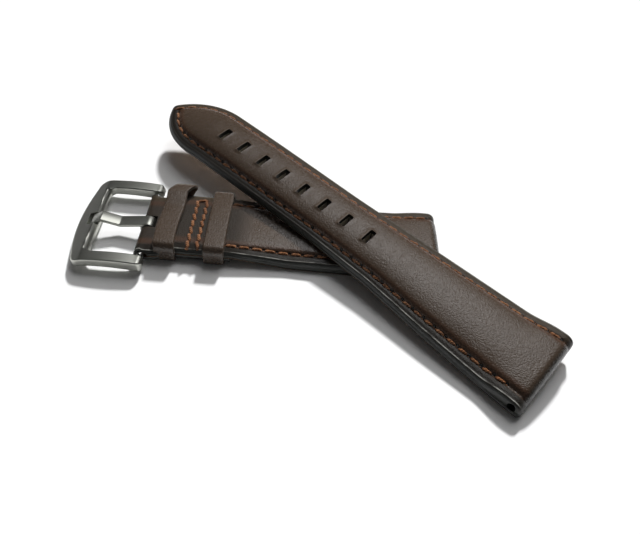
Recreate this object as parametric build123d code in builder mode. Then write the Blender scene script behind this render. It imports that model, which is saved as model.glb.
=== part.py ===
from build123d import *
import os
from collections import namedtuple
from math import cos, radians, sin, sqrt

# A two-piece padded leather watch strap, laid out as it is sold: the short half with its pin buckle
# lies flat on the table along X, and the long half with the buckle holes rests across it.
# Z is up and the table is Z = 0. The origin is on the table under the point where the two
# centre lines cross. Along each half, "along" is measured from its lug end, "side" across it
# and "height" up from the flat underside of its lining. All lengths are millimetres.

# How the two halves lie
long_lug_to_crossing = 58.2
short_lug_to_crossing = 24.4
crossing_angle = 39.5
rise_angle = 3.3
roll_angle = 6.1

# Widths and layers that both halves share
lug_width = 22.0
buckle_width = 20.0
lining_thickness = 1.2
skin_thickness = 1.2
tape_thickness = 0.3
lug_corner_radius = 1.2
lug_roll_radius = 2.0
lug_heel_radius = 0.6
overrun = 5.0

# Spring bar channels through the lug ends
channel_radius = 1.0
channel_to_end = 2.5
channel_height = 2.5

# Long half
long_length = 123.2
long_taper_length = 62.0
long_lug_edge = 3.4
long_lug_stitch = 4.2
long_lug_crown = 5.1
tail_edge = 2.9
tail_stitch = 3.8
tail_crown = 4.7
crown_fade_length = 14.0
tip_radius = 19.5
nose_radius = 2.0

# Buckle holes, punched as slots
slot_count = 8
first_slot_from_lug = 50.9
slot_spacing = 7.17
slot_length = 4.4
slot_width = 1.5

# Short half
short_padded_length = 38.0
short_taper_length = 45.0
short_rise_end = 51.5
short_lug_edge = 3.2
short_lug_stitch = 3.9
short_lug_crown = 4.7
short_edge = 2.4
short_stitch = 3.15
short_crown = 3.85
thin_edge_drop = 0.5
thin_crown = 0.05

# Fold of the short half round the buckle's bar
bar_from_lug = 72.7
fold_base = 1.0
fold_leather = 0.9
fold_core = 1.2
core_to_bar = 1.6
tongue_slit_clearance = 0.35

# Padding inside each half
padding_to_stitch = 0.9
padding_lug_gap = 5.5
padding_wall_drop = 0.9
padding_end_gap = 7.0

# Stitching
stitch_inset = 2.6
stitch_pitch = 3.2
stitch_length = 2.3
stitch_width = 0.68
stitch_top_width = 0.36
stitch_height = 0.5
stitch_seat_gap = 0.03
stitch_slant = 5.0
groove_width = 1.6
groove_depth = 0.4
row_to_lug = 2.6
box_row_from_bar = 11.95
box_row_spacing = 2.3
box_row_length = 14.4

# Leather keepers
keeper_width = 5.0
keeper_leather = 0.8
keeper_side_gap = 0.25
fixed_keeper_top_gap = 0.9
free_keeper_top_gap = 0.62
keeper_top_radius = 1.8
keeper_low_radius = 1.2
fixed_keeper_under_gap = 0.05
free_keeper_under_gap = 0.1
fixed_keeper_from_bar = 5.4
keeper_spacing = 11.8

# Pin buckle
arm_inner_half = 11.2
arm_width = 3.1
arm_end_radius = 1.2
frame_reach = 12.0
end_bar_depth = 4.6
end_bar_bow = 2.6
frame_corner_radius = 3.6
window_corner_radius = 1.4
ridge_height = 3.0
ridge_thickness = 2.6
rim_height = 0.9
rim_thickness = 1.7
arm_bow = 0.35

# Buckle tongue
tongue_width = 3.2
tongue_thickness = 0.9
tongue_flat_length = 6.6
tongue_slope_length = 4.3
tongue_ridge_gap = 0.2
tongue_tip_length = 2.7
notch_side_gap = 0.3

# Spring bar of the buckle
barrel_radius = 0.9
barrel_half = 10.6
barrel_bore_radius = 0.6
barrel_lip = 0.3
barrel_lip_radius = 0.45
bar_running_gap = 0.05
pin_body_radius = 0.55
pin_body_length = 2.0
pin_tip_radius = 0.4
pin_grip = 1.0
pin_hole_extra = 0.2
pin_end_gap = 0.05
spring_wire_half = 0.11
spring_radius = 0.36
spring_turns = 8
spring_end_gap = 0.05

# Worked out from the sizes above
half_lug = lug_width / 2
half_buckle = buckle_width / 2
seam_outer_inset = stitch_inset - groove_width / 2
seam_inner_inset = stitch_inset + groove_width / 2
padding_inset = stitch_inset + padding_to_stitch
padding_base = lining_thickness + tape_thickness
fold_thickness = 2 * fold_leather + fold_core
fold_top = fold_base + fold_thickness
bar_height = fold_base + fold_thickness / 2
core_low = fold_base + fold_leather
core_high = core_low + fold_core
bore_radius = barrel_radius + bar_running_gap
tongue_eye_radius = bore_radius + tongue_thickness
cross_height = long_lug_to_crossing * sin(radians(rise_angle)) + half_lug * sin(radians(roll_angle))
clear_height = long_lug_crown + overrun

Station = namedtuple("Station", "along half_width edge stitch crown base")


def long_half_plane():
    """The underside of the long half: it climbs over the short half and leans to its near side."""
    turn, rise, roll = radians(crossing_angle), radians(rise_angle), radians(roll_angle)
    along = Vector(-cos(turn) * cos(rise), sin(turn) * cos(rise), sin(rise))
    level_side = Vector(-sin(turn), -cos(turn), 0)
    up = along.cross(level_side) * cos(roll) + level_side * sin(roll)
    crossing = Plane(origin=(0, 0, cross_height), x_dir=along, z_dir=up)
    lug_end = crossing.from_local_coords((-long_lug_to_crossing, 0, 0))
    return Plane(origin=lug_end, x_dir=along, z_dir=up)


long_half = long_half_plane()
short_half = Plane(origin=(short_lug_to_crossing, 0, 0), x_dir=(-1, 0, 0), z_dir=(0, 0, 1))


def across(half, along):
    """Plane square to a half: sketch X is its side direction and sketch Y is its height."""
    return Plane(origin=half.from_local_coords((along, 0, 0)), x_dir=half.y_dir, z_dir=half.x_dir)


def lengthwise(half, side=0):
    """Upright plane along a half: sketch X is the distance from its lug end, sketch Y its height."""
    return Plane(origin=half.from_local_coords((0, side, 0)), x_dir=half.x_dir, z_dir=-half.y_dir)


def half_width_at(along, taper_length):
    """Half the strap's width, which narrows evenly and then stays parallel."""
    share = min(along / taper_length, 1)
    return half_lug + (half_buckle - half_lug) * share


def height_at(along, knots):
    """Height at a distance from the lug end, along a line of (distance, height) knots."""
    for (near, low), (far, high) in zip(knots, knots[1:]):
        if along <= far:
            return low + (high - low) * (along - near) / (far - near)
    return knots[-1][1]


tip_centre_side = half_buckle - tip_radius
tip_start = long_length - sqrt(tip_radius**2 - tip_centre_side**2)


def tip_end(inset):
    """Where the two arcs of the pointed tip meet, a given distance inside the edge."""
    return tip_start + sqrt((tip_radius - inset) ** 2 - tip_centre_side**2)


def tail_outline(inset=0.0):
    """Plan of the parallel part of the long half and its pointed tip."""
    half = half_buckle - inset
    apex = (tip_end(inset), 0)
    with BuildSketch() as plan:
        with BuildLine():
            Polyline((tip_start, -half), (long_taper_length, -half), (long_taper_length, half), (tip_start, half))
            TangentArc((tip_start, half), apex, tangent=(1, 0))
            TangentArc((tip_start, -half), apex, tangent=(1, 0))
        make_face()
        nose_share = 1 - inset / tip_radius
        fillet(plan.vertices().sort_by(Axis.X)[-1], nose_radius * nose_share)
    return plan.sketch


def lug_outline(inset, start, end, taper_length):
    """Plan of the tapered part of a half, rounded at its lug corners when it runs to the edge."""
    first = half_width_at(start, taper_length) - inset
    last = half_width_at(end, taper_length) - inset
    with BuildSketch() as plan:
        with BuildLine():
            Polyline((start, -first), (end, -last), (end, last), (start, first), close=True)
        make_face()
        if inset == 0:
            fillet(plan.vertices().sort_by(Axis.X)[:2], lug_corner_radius)
    return plan.sketch


def long_prism(inset=0.0, start=0.0, height=clear_height):
    """The long half's outline stood upright from the underside."""
    with BuildPart() as prism:
        with BuildSketch(long_half):
            add(lug_outline(inset, start, long_taper_length, long_taper_length))
            add(tail_outline(inset))
        extrude(amount=height)
    return prism.part


def short_prism(inset=0.0, start=0.0, end=bar_from_lug, height=clear_height):
    """The short half's outline stood upright from the underside."""
    with BuildPart() as prism:
        with BuildSketch(short_half):
            add(lug_outline(inset, start, short_taper_length, short_taper_length))
            if end > short_taper_length:
                with Locations(((short_taper_length + end) / 2, 0)):
                    Rectangle(end - short_taper_length, 2 * (half_buckle - inset))
        extrude(amount=height)
    return prism.part


def side_profile(half, reach):
    """Side view of a half with its rolled lug end, as a solid that trims what it meets."""
    with BuildPart() as profile:
        with BuildSketch(lengthwise(half)):
            with BuildLine():
                FilletPolyline((reach, 0), (0, 0), (0, long_lug_crown), (reach, long_lug_crown),
                               radius=(lug_heel_radius, lug_roll_radius))
                Line((reach, long_lug_crown), (reach, 0))
            make_face()
        extrude(amount=lug_width, both=True)
    return profile.part


def cushion_section(station):
    """Cross-section of a padded half: flat base, cut edges, sloping margins and a crowned middle."""
    edge_side = station.half_width
    seam_side = edge_side - stitch_inset
    with BuildSketch() as section:
        with BuildLine():
            Polyline((-seam_side, station.stitch), (-edge_side, station.edge), (-edge_side, station.base),
                     (edge_side, station.base), (edge_side, station.edge), (seam_side, station.stitch))
            ThreePointArc((seam_side, station.stitch), (0, station.crown), (-seam_side, station.stitch))
        make_face()
    return section.sketch


def padding_section(station):
    """Cross-section of the padding that fills a half under its top leather."""
    side = station.half_width - padding_inset
    wall = station.stitch - padding_wall_drop
    with BuildSketch() as section:
        with BuildLine():
            Polyline((-side, wall), (-side, padding_base), (side, padding_base), (side, wall))
            ThreePointArc((side, wall), (0, station.crown - skin_thickness), (-side, wall))
        make_face()
    return section.sketch


def lofted(half, stations, section):
    """Body that runs straight from one cross-section of a half to the next."""
    with BuildPart() as body:
        for first, second in zip(stations, stations[1:]):
            with BuildSketch(across(half, first.along)):
                add(section(first))
            with BuildSketch(across(half, second.along)):
                add(section(second))
            loft(ruled=True)
    return body.part


def slot_tools():
    """The punches of all buckle holes, in one row along the middle of the long half."""
    with BuildPart() as punches:
        with BuildSketch(long_half):
            for number in range(slot_count):
                with Locations((first_slot_from_lug + number * slot_spacing, 0)):
                    Rectangle(slot_width, slot_length)
        extrude(amount=clear_height)
    return punches.part


def channel_tool(half):
    """The bore of a spring bar channel, through the full width of a lug end."""
    with BuildPart() as channel:
        with BuildSketch(lengthwise(half)):
            with Locations((channel_to_end, channel_height)):
                Circle(channel_radius)
        extrude(amount=lug_width, both=True)
    return channel.part


def seam_groove(half, outer, inner, floor):
    """The sunken channel for the stitches, between two outlines and above a sloping floor."""
    with BuildPart() as groove:
        add(outer)
        add(inner, mode=Mode.SUBTRACT)
        with BuildSketch(lengthwise(half)):
            with BuildLine():
                Polyline(*floor, (floor[-1][0], clear_height), (floor[0][0], clear_height), close=True)
            make_face()
        extrude(amount=lug_width, both=True, mode=Mode.INTERSECT)
    return groove.part


# Long half
lug_station = Station(0, half_lug, long_lug_edge, long_lug_stitch, long_lug_crown, 0)
tail_station = Station(long_taper_length, half_buckle, tail_edge, tail_stitch, tail_crown, 0)
end_station = Station(long_length, half_buckle, tail_edge, tail_stitch, tail_crown, 0)
row_start = row_to_lug / 2
long_floor = (
    (row_start, height_at(row_start, ((0, long_lug_stitch), (long_taper_length, tail_stitch))) - groove_depth),
    (long_taper_length, tail_stitch - groove_depth),
    (long_length, tail_stitch - groove_depth),
)
slots = slot_tools()
long_plan = long_prism()
long_side = side_profile(long_half, long_length)
padding_plan = long_prism(padding_inset, padding_lug_gap)
padding_body = lofted(long_half, (lug_station, tail_station, end_station), padding_section)

with BuildPart() as long_padding:
    add(padding_body)
    add(padding_plan, mode=Mode.INTERSECT)
    with BuildSketch(lengthwise(long_half)):
        with BuildLine():
            fade_start = long_length - padding_end_gap - crown_fade_length
            pad_end = long_length - padding_end_gap
            end_wall = tail_stitch - padding_wall_drop
            Polyline((0, 0), (pad_end, 0), (pad_end, end_wall), (fade_start, tail_crown - skin_thickness),
                     (fade_start, long_lug_crown), (0, long_lug_crown), close=True)
        make_face()
    extrude(amount=half_lug, both=True, mode=Mode.INTERSECT)
    add(slots, mode=Mode.SUBTRACT)
long_padding.part.label = "long_padding"

with BuildPart() as long_tape:
    add(padding_plan)
    with BuildSketch(long_half.offset(lining_thickness)):
        with Locations((pad_end / 2, 0)):
            Rectangle(pad_end, lug_width)
    extrude(amount=tape_thickness, mode=Mode.INTERSECT)
    add(slots, mode=Mode.SUBTRACT)
long_tape.part.label = "long_tape"

long_lining_plan = long_prism(height=lining_thickness)
with BuildPart() as long_lining:
    add(long_lining_plan)
    add(long_side, mode=Mode.INTERSECT)
    add(slots, mode=Mode.SUBTRACT)
long_lining.part.label = "long_lining"

tail_crown_plan = long_prism(stitch_inset, long_taper_length / 2)
with BuildPart() as tail_cushion:
    with BuildSketch(across(long_half, long_taper_length)):
        seam_side = half_buckle - stitch_inset
        with BuildLine():
            Polyline((-seam_side, tail_stitch), (-seam_side, 0), (seam_side, 0), (seam_side, tail_stitch))
            ThreePointArc((seam_side, tail_stitch), (0, tail_crown), (-seam_side, tail_stitch))
        make_face()
    extrude(amount=long_length - long_taper_length)
    add(tail_crown_plan, mode=Mode.INTERSECT)
    with BuildSketch(lengthwise(long_half)):
        crown_end = tip_end(stitch_inset)
        crown_fall_start = crown_end - crown_fade_length
        crown_fall_middle = crown_end - crown_fade_length / 2
        middle_drop = (tail_crown - tail_stitch) / 4
        with BuildLine():
            Polyline((crown_end, tail_stitch), (crown_end, 0), (0, 0), (0, tail_crown), (crown_fall_start, tail_crown))
            ThreePointArc((crown_fall_start, tail_crown), (crown_fall_middle, tail_crown - middle_drop),
                          (crown_end, tail_stitch))
        make_face()
    extrude(amount=half_lug, both=True, mode=Mode.INTERSECT)

with BuildPart() as tail_margin:
    with BuildSketch(long_half):
        add(tail_outline())
    extrude(amount=tail_edge)
    with BuildSketch(long_half.offset(tail_edge)):
        add(tail_outline())
    with BuildSketch(long_half.offset(tail_stitch)):
        add(tail_outline(stitch_inset))
    loft(ruled=True)

lug_cushion = lofted(long_half, (lug_station, tail_station), cushion_section)
long_groove = seam_groove(long_half, long_prism(seam_outer_inset), long_prism(seam_inner_inset), long_floor)
long_channel = channel_tool(long_half)

with BuildPart() as long_top_leather:
    add(lug_cushion)
    add(tail_margin.part)
    add(tail_cushion.part)
    add(long_plan, mode=Mode.INTERSECT)
    add(long_side, mode=Mode.INTERSECT)
    add(long_lining_plan, mode=Mode.SUBTRACT)
    add(long_padding.part, mode=Mode.SUBTRACT)
    add(long_tape.part, mode=Mode.SUBTRACT)
    add(long_groove, mode=Mode.SUBTRACT)
    add(long_channel, mode=Mode.SUBTRACT)
    add(slots, mode=Mode.SUBTRACT)
long_top_leather.part.label = "long_top_leather"


def sewn_row(half, path, floor, start, end):
    """One row of stitches: short thread bars, evenly spaced along the seam and flat on its floor."""
    with BuildPart() as stitch:
        with BuildSketch(Plane.YZ):
            with BuildLine():
                Polyline((-stitch_width / 2, 0), (stitch_width / 2, 0), (stitch_top_width / 2, stitch_height),
                         (-stitch_top_width / 2, stitch_height), close=True)
            make_face()
        extrude(amount=stitch_length / 2, both=True)
    count = round(path.length / stitch_pitch)
    seats = []
    for number in range(count):
        share = (number + 1 / 2) / count
        spot, heading = path @ share, path % share
        if start <= spot.X <= end:
            reach = heading.X * stitch_length
            rise = (height_at(spot.X + reach, floor) - height_at(spot.X - reach, floor)) / (2 * stitch_length)
            seat = half.from_local_coords((spot.X, spot.Y, height_at(spot.X, floor) + stitch_seat_gap))
            run = half.from_local_coords((spot.X + heading.X, spot.Y + heading.Y, rise)) - half.from_local_coords(
                (spot.X, spot.Y, 0))
            lift = half.from_local_coords((-heading.X * rise, -heading.Y * rise, 1)) - half.origin
            place = Plane(origin=seat, x_dir=run, z_dir=lift)
            seats.append(place.location * Location((0, 0, 0), (0, 0, stitch_slant)))
    with BuildPart() as row:
        with Locations(*seats):
            add(stitch.part)
    return row.part


def long_seam():
    """The seam of the long half: up one side, round the tip and back down the other."""
    first = half_width_at(row_to_lug, long_taper_length) - stitch_inset
    half = half_buckle - stitch_inset
    apex = (tip_end(stitch_inset), 0)
    with BuildLine() as seam:
        Polyline((row_to_lug, first), (long_taper_length, half), (tip_start, half))
        TangentArc((tip_start, half), apex, tangent=(1, 0))
        TangentArc((tip_start, -half), apex, tangent=(1, 0))
        Polyline((tip_start, -half), (long_taper_length, -half), (row_to_lug, -first))
    return seam.wires()[0]


long_row = sewn_row(long_half, long_seam(), long_floor, row_to_lug, long_length)
with BuildPart() as long_stitching:
    add(long_row)
long_stitching.part.label = "long_stitching"

# Short half
short_lug_station = Station(0, half_lug, short_lug_edge, short_lug_stitch, short_lug_crown, 0)
padded_half_width = half_width_at(short_padded_length, short_taper_length)
padded_station = Station(short_padded_length, padded_half_width, short_edge, short_stitch, short_crown, 0)
thin_edge = fold_top - thin_edge_drop
thin_half_width = half_width_at(short_rise_end, short_taper_length)
thin_station = Station(short_rise_end, thin_half_width, thin_edge, fold_top, fold_top + thin_crown, core_low)
box_row_near_fold = bar_from_lug - box_row_from_bar - box_row_spacing / 2
short_row_end = box_row_near_fold - stitch_pitch
groove_end = short_row_end + stitch_length
short_heights = ((0, short_lug_stitch), (short_padded_length, short_stitch), (short_rise_end, fold_top))
short_floor = (
    (row_start, height_at(row_start, short_heights) - groove_depth),
    (short_padded_length, short_stitch - groove_depth),
    (short_rise_end, fold_top - groove_depth),
    (groove_end, fold_top - groove_depth),
)
short_plan = short_prism()
short_side = side_profile(short_half, bar_from_lug)
short_padding_plan = short_prism(padding_inset, padding_lug_gap, short_taper_length)
short_padding_body = lofted(short_half, (short_lug_station, padded_station), padding_section)

with BuildPart() as short_padding:
    add(short_padding_body)
    add(short_padding_plan, mode=Mode.INTERSECT)
short_padding.part.label = "short_padding"

with BuildPart() as short_tape:
    add(short_padding_plan)
    with BuildSketch(short_half.offset(lining_thickness)):
        with Locations((short_padded_length / 2, 0)):
            Rectangle(short_padded_length, lug_width)
    extrude(amount=tape_thickness, mode=Mode.INTERSECT)
short_tape.part.label = "short_tape"

with BuildPart() as tongue_slit:
    with BuildSketch(short_half):
        slit_start = bar_from_lug - tongue_eye_radius - tongue_slit_clearance
        slit_end = bar_from_lug + fold_thickness
        with Locations(((slit_start + slit_end) / 2, 0)):
            Rectangle(slit_end - slit_start, tongue_width + 2 * tongue_slit_clearance)
    extrude(amount=clear_height)

# The lining lies flat under the padding, then climbs in between the two legs of the fold
with BuildPart() as lining_body:
    with BuildSketch(lengthwise(short_half)):
        lining_end = bar_from_lug - core_to_bar
        with BuildLine():
            Polyline((0, 0), (short_padded_length, 0), (short_rise_end, core_low), (lining_end, core_low),
                     (lining_end, core_high), (short_rise_end, core_high),
                     (short_padded_length, lining_thickness), (0, lining_thickness), close=True)
        make_face()
    extrude(amount=lug_width, both=True)

with BuildPart() as short_lining:
    add(lining_body.part)
    add(short_plan, mode=Mode.INTERSECT)
    add(short_side, mode=Mode.INTERSECT)
    add(tongue_slit.part, mode=Mode.SUBTRACT)
short_lining.part.label = "short_lining"

# The fold: the top leather turned back round the bar, with a slit in the middle for the tongue
with BuildPart() as fold:
    with BuildSketch(lengthwise(short_half)):
        with BuildLine():
            Polyline((bar_from_lug, fold_base), (short_rise_end, fold_base), (short_rise_end, fold_top),
                     (bar_from_lug, fold_top))
            ThreePointArc((bar_from_lug, fold_top), (bar_from_lug + fold_thickness / 2, bar_height),
                          (bar_from_lug, fold_base))
        make_face()
        with Locations(((short_rise_end + bar_from_lug) / 2, bar_height)):
            Rectangle(bar_from_lug - short_rise_end, fold_core, mode=Mode.SUBTRACT)
        with Locations((bar_from_lug, bar_height)):
            Circle(bore_radius, mode=Mode.SUBTRACT)
    extrude(amount=half_buckle, both=True)
    add(tongue_slit.part, mode=Mode.SUBTRACT)

short_cushion = lofted(short_half, (short_lug_station, padded_station, thin_station), cushion_section)
short_groove = seam_groove(short_half, short_prism(seam_outer_inset), short_prism(seam_inner_inset), short_floor)
short_channel = channel_tool(short_half)

with BuildPart() as short_top_leather:
    add(short_cushion)
    add(short_plan, mode=Mode.INTERSECT)
    add(short_side, mode=Mode.INTERSECT)
    add(lining_body.part, mode=Mode.SUBTRACT)
    add(short_padding.part, mode=Mode.SUBTRACT)
    add(short_tape.part, mode=Mode.SUBTRACT)
    add(fold.part)
    add(short_groove, mode=Mode.SUBTRACT)
    add(short_channel, mode=Mode.SUBTRACT)
short_top_leather.part.label = "short_top_leather"


def short_seam(sign):
    """The seam along one side of the short half."""
    first = half_width_at(row_to_lug, short_taper_length) - stitch_inset
    last = half_buckle - stitch_inset
    with BuildLine() as seam:
        Polyline((row_to_lug, sign * first), (short_taper_length, sign * last), (short_row_end, sign * last))
    return seam.wires()[0]


near_row = sewn_row(short_half, short_seam(1), short_floor, row_to_lug, short_row_end)
with BuildPart() as short_stitching_near:
    add(near_row)
short_stitching_near.part.label = "short_stitching_near"

far_row = sewn_row(short_half, short_seam(-1), short_floor, row_to_lug, short_row_end)
with BuildPart() as short_stitching_far:
    add(far_row)
short_stitching_far.part.label = "short_stitching_far"

# The closed seam that holds the fold: two rows across the strap, joined at their ends
with BuildLine() as box_seam:
    box_row_near_bar = box_row_near_fold + box_row_spacing
    box_side = box_row_length / 2
    Polyline((box_row_near_fold, -box_side), (box_row_near_fold, box_side), (box_row_near_bar, box_side),
             (box_row_near_bar, -box_side), close=True)
fold_surface = ((0, fold_top), (bar_from_lug, fold_top))
box_row = sewn_row(short_half, box_seam.wires()[0], fold_surface, 0, bar_from_lug)
with BuildPart() as box_stitching:
    add(box_row)
box_stitching.part.label = "box_stitching"


def keeper_outline(half, low, high, inset=0.0):
    """Section of a keeper: well rounded at its top corners and less so under the strap."""
    with BuildSketch() as outline:
        with Locations((0, (low + high) / 2)):
            Rectangle(2 * (half - inset), high - low - 2 * inset)
        fillet(outline.vertices().group_by(Axis.Y)[0], keeper_low_radius - inset)
        fillet(outline.vertices().group_by(Axis.Y)[-1], keeper_top_radius - inset)
    return outline.sketch


def keeper_ring(along, under_gap, top_gap):
    """A leather loop round the fold: rounded outside, open inside for the end of the long half."""
    outer_half = half_buckle + keeper_side_gap + keeper_leather
    low = fold_base - under_gap - keeper_leather
    high = fold_top + top_gap + keeper_leather
    with BuildPart() as ring:
        with BuildSketch(across(short_half, along - keeper_width / 2)):
            add(keeper_outline(outer_half, low, high))
            add(keeper_outline(outer_half, low, high, keeper_leather), mode=Mode.SUBTRACT)
        extrude(amount=keeper_width)
    return ring.part


fixed_keeper_along = bar_from_lug - fixed_keeper_from_bar
fixed_ring = keeper_ring(fixed_keeper_along, fixed_keeper_under_gap, fixed_keeper_top_gap)
free_ring = keeper_ring(fixed_keeper_along - keeper_spacing, free_keeper_under_gap, free_keeper_top_gap)

with BuildPart() as fixed_keeper:
    add(fixed_ring)
fixed_keeper.part.label = "fixed_keeper"

with BuildPart() as free_keeper:
    add(free_ring)
free_keeper.part.label = "free_keeper"

# Pin buckle in side view: thin arms that arch up to a ridge, then a bar that slopes down outside
ridge_along = bar_from_lug + frame_reach
rim_along = ridge_along + end_bar_depth
ridge_top = bar_height + ridge_height
rim_top = bar_height + rim_height
arm_outer_half = arm_inner_half + arm_width
arm_top = (bar_from_lug, bar_height + arm_end_radius)
arm_low = (bar_from_lug, bar_height - arm_end_radius)
ridge = (ridge_along, ridge_top)
ridge_under = (ridge_along, ridge_top - ridge_thickness)
rim = (rim_along, rim_top)
rim_under = (rim_along, rim_top - rim_thickness)


def bowed(first, last):
    """Line between two points that is bowed slightly upward."""
    middle = ((first[0] + last[0]) / 2, (first[1] + last[1]) / 2 + arm_bow)
    return ThreePointArc(first, middle, last)


# The tongue in side view: an eye round the bar, a flat stretch, a rise and the dropped tip
tongue_top = bar_height + tongue_eye_radius
bend_along = bar_from_lug + tongue_flat_length
crest_along = bend_along + tongue_slope_length
tip_along = crest_along + tongue_tip_length
crest_top = ridge_top + tongue_ridge_gap + tongue_thickness / 2
tip_top = crest_top - tongue_tip_length * (ridge_top - rim_top) / end_bar_depth


def tongue_outline(extra=0.0):
    """Side view of the tongue, thickened underneath by an extra distance."""
    depth = tongue_thickness + extra
    with BuildSketch() as outline:
        with BuildLine():
            Polyline((bar_from_lug, tongue_top), (bend_along, tongue_top), (crest_along, crest_top),
                     (tip_along, tip_top), (tip_along, tip_top - depth), (crest_along, crest_top - depth),
                     (bend_along, tongue_top - depth), (bar_from_lug, tongue_top - depth), close=True)
        make_face()
        with Locations((bar_from_lug, bar_height)):
            Circle(tongue_eye_radius)
    return outline.sketch


with BuildPart() as buckle_tongue:
    with BuildSketch(lengthwise(short_half)):
        add(tongue_outline())
        with Locations((bar_from_lug, bar_height)):
            Circle(bore_radius, mode=Mode.SUBTRACT)
    extrude(amount=tongue_width / 2, both=True)
buckle_tongue.part.label = "buckle_tongue"

with BuildPart() as buckle_frame:
    with BuildSketch(short_half) as frame_plan:
        corner_along = rim_along - end_bar_bow
        arm_end = bar_from_lug - arm_end_radius
        with BuildLine():
            Polyline((corner_along, -arm_outer_half), (arm_end, -arm_outer_half), (arm_end, arm_outer_half),
                     (corner_along, arm_outer_half))
            ThreePointArc((corner_along, arm_outer_half), (rim_along, 0), (corner_along, -arm_outer_half))
        make_face()
        fillet(frame_plan.vertices().sort_by(Axis.X)[:2], frame_corner_radius)
        with BuildLine():
            FilletPolyline((arm_end, -arm_inner_half), (ridge_along, -arm_inner_half), (ridge_along, arm_inner_half),
                           (arm_end, arm_inner_half), radius=window_corner_radius)
            Line((arm_end, arm_inner_half), (arm_end, -arm_inner_half))
        make_face(mode=Mode.SUBTRACT)
    extrude(amount=clear_height)
    with BuildSketch(lengthwise(short_half)):
        with BuildLine():
            ThreePointArc(arm_low, (bar_from_lug - arm_end_radius, bar_height), arm_top)
            bowed(arm_top, ridge)
            bowed(ridge, rim)
            Line(rim, rim_under)
            bowed(rim_under, ridge_under)
            bowed(ridge_under, arm_low)
        make_face()
    extrude(amount=arm_outer_half + overrun, both=True, mode=Mode.INTERSECT)
    with BuildSketch(lengthwise(short_half)):
        add(tongue_outline(tongue_ridge_gap))
    extrude(amount=tongue_width / 2 + notch_side_gap, both=True, mode=Mode.SUBTRACT)
    with BuildSketch(lengthwise(short_half)):
        with Locations((bar_from_lug, bar_height)):
            Circle(pin_tip_radius + bar_running_gap)
    extrude(amount=arm_inner_half + pin_grip + pin_hole_extra, both=True, mode=Mode.SUBTRACT)
buckle_frame.part.label = "buckle_frame"

# Spring bar of the buckle: a tube with rolled-in ends, two sprung pins and the spring between them
with BuildPart() as bar_barrel:
    for radius, reach, keep in ((barrel_radius, barrel_half, Mode.ADD),
                                (barrel_bore_radius, barrel_half - barrel_lip, Mode.SUBTRACT),
                                (barrel_lip_radius, barrel_half, Mode.SUBTRACT)):
        with BuildSketch(lengthwise(short_half)):
            with Locations((bar_from_lug, bar_height)):
                Circle(radius)
        extrude(amount=reach, both=True, mode=keep)
bar_barrel.part.label = "bar_barrel"

pin_shoulder = barrel_half - barrel_lip - pin_end_gap
pin_inner = pin_shoulder - pin_body_length
pin_tip = arm_inner_half + pin_grip


def sprung_pin(sign):
    """One end of the spring bar: a body that slides in the tube and a thin tip that enters the arm."""
    with BuildPart() as pin:
        with BuildSketch(lengthwise(short_half, sign * pin_inner)):
            with Locations((bar_from_lug, bar_height)):
                Circle(pin_body_radius)
        extrude(amount=-sign * pin_body_length)
        with BuildSketch(lengthwise(short_half, sign * pin_shoulder)):
            with Locations((bar_from_lug, bar_height)):
                Circle(pin_tip_radius)
        extrude(amount=-sign * (pin_tip - pin_shoulder))
    return pin.part


near_pin = sprung_pin(1)
with BuildPart() as bar_pin_near:
    add(near_pin)
bar_pin_near.part.label = "bar_pin_near"

far_pin = sprung_pin(-1)
with BuildPart() as bar_pin_far:
    add(far_pin)
bar_pin_far.part.label = "bar_pin_far"

spring_half = pin_inner - spring_end_gap - spring_wire_half
with BuildPart() as bar_spring:
    with BuildLine() as coil:
        spring_foot = short_half.from_local_coords((bar_from_lug, -spring_half, bar_height))
        Helix(pitch=2 * spring_half / spring_turns, height=2 * spring_half, radius=spring_radius,
              center=spring_foot, direction=short_half.y_dir)
    with BuildSketch(Plane(origin=coil.line @ 0, z_dir=coil.line % 0)):
        Rectangle(2 * spring_wire_half, 2 * spring_wire_half)
    sweep(is_frenet=True)
bar_spring.part.label = "bar_spring"

pieces = (long_top_leather, long_padding, long_tape, long_lining, long_stitching, short_top_leather, short_padding,
          short_tape, short_lining, short_stitching_near, short_stitching_far, box_stitching, fixed_keeper,
          free_keeper, buckle_frame, buckle_tongue, bar_barrel, bar_pin_near, bar_pin_far, bar_spring)

os.makedirs("parts", exist_ok=True)
for name in pieces:
    export_step(name.part, f"parts/{name.part.label}.step")
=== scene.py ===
from math import acos, atan2, cos, exp, hypot, pi, radians, sin, sqrt

import bmesh
import bpy
from mathutils import Matrix, Vector


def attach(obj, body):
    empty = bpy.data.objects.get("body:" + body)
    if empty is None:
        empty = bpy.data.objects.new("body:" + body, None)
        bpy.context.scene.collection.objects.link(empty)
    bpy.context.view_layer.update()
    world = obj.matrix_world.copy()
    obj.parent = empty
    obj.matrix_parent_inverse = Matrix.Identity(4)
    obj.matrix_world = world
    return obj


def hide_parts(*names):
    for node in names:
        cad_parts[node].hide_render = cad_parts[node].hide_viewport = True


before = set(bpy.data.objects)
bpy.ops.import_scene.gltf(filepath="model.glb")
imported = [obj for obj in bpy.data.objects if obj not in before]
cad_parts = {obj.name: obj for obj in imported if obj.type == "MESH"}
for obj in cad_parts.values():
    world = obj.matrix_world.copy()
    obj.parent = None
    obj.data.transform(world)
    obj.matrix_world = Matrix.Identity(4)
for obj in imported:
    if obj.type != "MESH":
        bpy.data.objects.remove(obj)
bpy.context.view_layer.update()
mm = 0.001

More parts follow.
